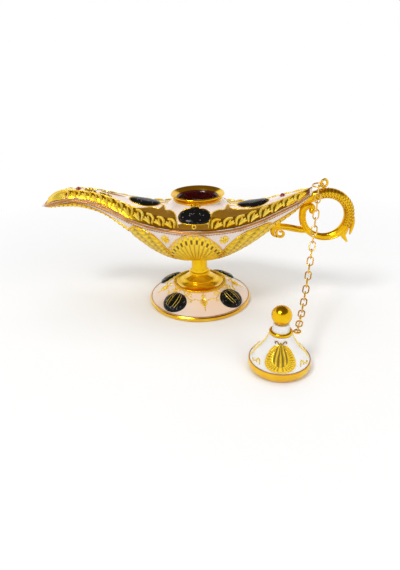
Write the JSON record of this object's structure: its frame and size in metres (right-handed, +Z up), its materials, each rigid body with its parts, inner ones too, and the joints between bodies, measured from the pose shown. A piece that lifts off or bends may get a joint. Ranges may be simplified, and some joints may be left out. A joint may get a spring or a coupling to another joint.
{
  "type": "genie_oil_lamp",
  "caption": "Genie oil lamp on a round foot: boat-shaped enamelled body, long spout, scroll handle, and a bell lid on a chain that stands beside it.",
  "frame": {"origin": "centre of the foot's underside", "axes": "+X towards the handle, -X towards the spout, -Y towards the viewer and the lid, +Z up"},
  "size_m": [0.2033, 0.1309, 0.0851],
  "materials": {
    "white_enamel": "gloss",
    "cream_enamel": "gloss",
    "gold_metal": "polished",
    "black_enamel": "glitter",
    "red_glass": "polished",
    "steel": "plain"
  },
  "bodies": {
    "lamp": {"bead_ring": "gold_metal", "bowl": "white_enamel", "brace_screw": "steel", "chain_lug": "gold_metal", "deck": "white_enamel", "deck_medallion_back": "black_enamel", "deck_medallion_front": "black_enamel", "deck_medallion_spout": "black_enamel", "deck_medallion_tail": "black_enamel", "foot": "cream_enamel", "foot_medallions": "black_enamel", "handle": "gold_metal", "handle_pin": "steel", "mouth_collar": "gold_metal", "ridge_gems": "red_glass", "stem": "gold_metal", "tie_nuts": "steel", "tie_rod": "steel", "tie_washers": "steel"},
    "top_ring": {"top_ring": "gold_metal"},
    "link_01": {"chain_link_01": "gold_metal"},
    "link_02": {"chain_link_02": "gold_metal"},
    "link_03": {"chain_link_03": "gold_metal"},
    "link_04": {"chain_link_04": "gold_metal"},
    "link_05": {"chain_link_05": "gold_metal"},
    "link_06": {"chain_link_06": "gold_metal"},
    "link_07": {"chain_link_07": "gold_metal"},
    "link_08": {"chain_link_08": "gold_metal"},
    "link_09": {"chain_link_09": "gold_metal"},
    "link_10": {"chain_link_10": "gold_metal"},
    "link_11": {"chain_link_11": "gold_metal"},
    "link_12": {"chain_link_12": "gold_metal"},
    "link_13": {"chain_link_13": "gold_metal"},
    "link_14": {"chain_link_14": "gold_metal"},
    "link_15": {"chain_link_15": "gold_metal"},
    "link_16": {"chain_link_16": "gold_metal"},
    "link_17": {"chain_link_17": "gold_metal"},
    "link_18": {"chain_link_18": "gold_metal"},
    "link_19": {"chain_link_19": "gold_metal"},
    "link_20": {"chain_link_20": "gold_metal"},
    "link_21": {"chain_link_21": "gold_metal"},
    "lid": {"lid_bell": "white_enamel", "lid_ring": "gold_metal", "lid_eye": "gold_metal", "finial": "gold_metal"}
  },
  "joints": [
    {"name": "chain_swivel", "type": "hinge", "parent": "lamp", "child": "top_ring", "pos_m": [0.0784, -0.00042, 0.08187], "axis": [0, 0, 1], "range_deg": [-15, 20]},
    {"name": "lid_lift", "type": "slide", "parent": "top_ring", "child": "lid", "axis": [0, 0, 1], "range_m": [0, 0.016]},
    {"name": "link_01_turn", "type": "hinge", "parent": "top_ring", "child": "link_01", "pos_m": [0.07536, -0.00524, 0.0817], "axis": [-0.9775, 0.2107, 0], "range_deg": [-8.93, 0.6]},
    {"name": "link_02_turn", "type": "hinge", "parent": "top_ring", "child": "link_02", "pos_m": [0.07539, -0.00514, 0.08295], "axis": [-0.9775, 0.2107, 0], "range_deg": [-7.26, 0.6]},
    {"name": "link_03_turn", "type": "hinge", "parent": "top_ring", "child": "link_03", "pos_m": [0.07548, -0.00469, 0.08669], "axis": [-0.9775, 0.2107, 0], "range_deg": [-5.59, 0.6]},
    {"name": "link_04_turn", "type": "hinge", "parent": "top_ring", "child": "link_04", "pos_m": [0.07581, -0.00318, 0.09663], "axis": [-0.9775, 0.2107, 0], "range_deg": [-3.92, 0.6]},
    {"name": "link_05_turn", "type": "hinge", "parent": "top_ring", "child": "link_05", "pos_m": [0.07716, 0.00311, 0.13152], "axis": [-0.9775, 0.2107, 0], "range_deg": [-2.25, 0.6]},
    {"name": "link_06_turn", "type": "hinge", "parent": "top_ring", "child": "link_06", "pos_m": [-0.13172, -0.96595, -4.7862], "axis": [-0.9775, 0.2107, 0], "range_deg": [-0.6, 0.62]},
    {"name": "link_07_turn", "type": "hinge", "parent": "top_ring", "child": "link_07", "pos_m": [0.07047, -0.02795, -0.01811], "axis": [-0.9775, 0.2107, 0], "range_deg": [-0.6, 2.3]},
    {"name": "link_08_turn", "type": "hinge", "parent": "top_ring", "child": "link_08", "pos_m": [0.07167, -0.02236, 0.01537], "axis": [-0.9775, 0.2107, 0], "range_deg": [-0.6, 3.97]},
    {"name": "link_09_turn", "type": "hinge", "parent": "top_ring", "child": "link_09", "pos_m": [0.07185, -0.02152, 0.02537], "axis": [-0.9775, 0.2107, 0], "range_deg": [-0.6, 5.64]},
    {"name": "link_10_turn", "type": "hinge", "parent": "top_ring", "child": "link_10", "pos_m": [0.07176, -0.02197, 0.02952], "axis": [-0.9775, 0.2107, 0], "range_deg": [-0.6, 7.31]},
    {"name": "link_11_turn", "type": "hinge", "parent": "top_ring", "child": "link_11", "pos_m": [0.07154, -0.02299, 0.03138], "axis": [-0.9775, 0.2107, 0], "range_deg": [-0.6, 8.98]},
    {"name": "link_12_turn", "type": "hinge", "parent": "top_ring", "child": "link_12", "pos_m": [0.07125, -0.02434, 0.03215], "axis": [-0.9775, 0.2107, 0], "range_deg": [-0.6, 10.65]},
    {"name": "link_13_turn", "type": "hinge", "parent": "top_ring", "child": "link_13", "pos_m": [0.07091, -0.02591, 0.03235], "axis": [-0.9775, 0.2107, 0], "range_deg": [-0.6, 12.32]},
    {"name": "link_14_turn", "type": "hinge", "parent": "top_ring", "child": "link_14", "pos_m": [0.07053, -0.02765, 0.03224], "axis": [-0.9775, 0.2107, 0], "range_deg": [-0.6, 13.99]},
    {"name": "link_15_turn", "type": "hinge", "parent": "top_ring", "child": "link_15", "pos_m": [0.07013, -0.02952, 0.03197], "axis": [-0.9775, 0.2107, 0], "range_deg": [-0.6, 15.66]},
    {"name": "link_16_turn", "type": "hinge", "parent": "top_ring", "child": "link_16", "pos_m": [0.0697, -0.03149, 0.03163], "axis": [-0.9775, 0.2107, 0], "range_deg": [-0.6, 17.33]},
    {"name": "link_17_turn", "type": "hinge", "parent": "top_ring", "child": "link_17", "pos_m": [0.06926, -0.03355, 0.03128], "axis": [-0.9775, 0.2107, 0], "range_deg": [-0.6, 19]},
    {"name": "link_18_turn", "type": "hinge", "parent": "top_ring", "child": "link_18", "pos_m": [0.0688, -0.03567, 0.03096], "axis": [-0.9775, 0.2107, 0], "range_deg": [-0.6, 20.67]},
    {"name": "link_19_turn", "type": "hinge", "parent": "top_ring", "child": "link_19", "pos_m": [0.06833, -0.03785, 0.03069], "axis": [-0.9775, 0.2107, 0], "range_deg": [-0.6, 22.34]},
    {"name": "link_20_turn", "type": "hinge", "parent": "top_ring", "child": "link_20", "pos_m": [0.06785, -0.04007, 0.0305], "axis": [-0.9775, 0.2107, 0], "range_deg": [-0.6, 24.01]},
    {"name": "link_21_turn", "type": "hinge", "parent": "top_ring", "child": "link_21", "pos_m": [0.06737, -0.04232, 0.0304], "axis": [-0.9775, 0.2107, 0], "range_deg": [-0.6, 25.68]}
  ],
  "couplings": [
    {"joint": "link_01_turn", "follows": "lid_lift", "rad_per_m": -9.0842},
    {"joint": "link_02_turn", "follows": "lid_lift", "rad_per_m": -7.2619},
    {"joint": "link_03_turn", "follows": "lid_lift", "rad_per_m": -5.4396},
    {"joint": "link_04_turn", "follows": "lid_lift", "rad_per_m": -3.6173},
    {"joint": "link_05_turn", "follows": "lid_lift", "rad_per_m": -1.795},
    {"joint": "link_06_turn", "follows": "lid_lift", "rad_per_m": 0.027339},
    {"joint": "link_07_turn", "follows": "lid_lift", "rad_per_m": 1.8496},
    {"joint": "link_08_turn", "follows": "lid_lift", "rad_per_m": 3.6719},
    {"joint": "link_09_turn", "follows": "lid_lift", "rad_per_m": 5.4942},
    {"joint": "link_10_turn", "follows": "lid_lift", "rad_per_m": 7.3165},
    {"joint": "link_11_turn", "follows": "lid_lift", "rad_per_m": 9.1388},
    {"joint": "link_12_turn", "follows": "lid_lift", "rad_per_m": 10.961},
    {"joint": "link_13_turn", "follows": "lid_lift", "rad_per_m": 12.783},
    {"joint": "link_14_turn", "follows": "lid_lift", "rad_per_m": 14.606},
    {"joint": "link_15_turn", "follows": "lid_lift", "rad_per_m": 16.428},
    {"joint": "link_16_turn", "follows": "lid_lift", "rad_per_m": 18.25},
    {"joint": "link_17_turn", "follows": "lid_lift", "rad_per_m": 20.073},
    {"joint": "link_18_turn", "follows": "lid_lift", "rad_per_m": 21.895},
    {"joint": "link_19_turn", "follows": "lid_lift", "rad_per_m": 23.717},
    {"joint": "link_20_turn", "follows": "lid_lift", "rad_per_m": 25.54},
    {"joint": "link_21_turn", "follows": "lid_lift", "rad_per_m": 27.362}
  ]
}
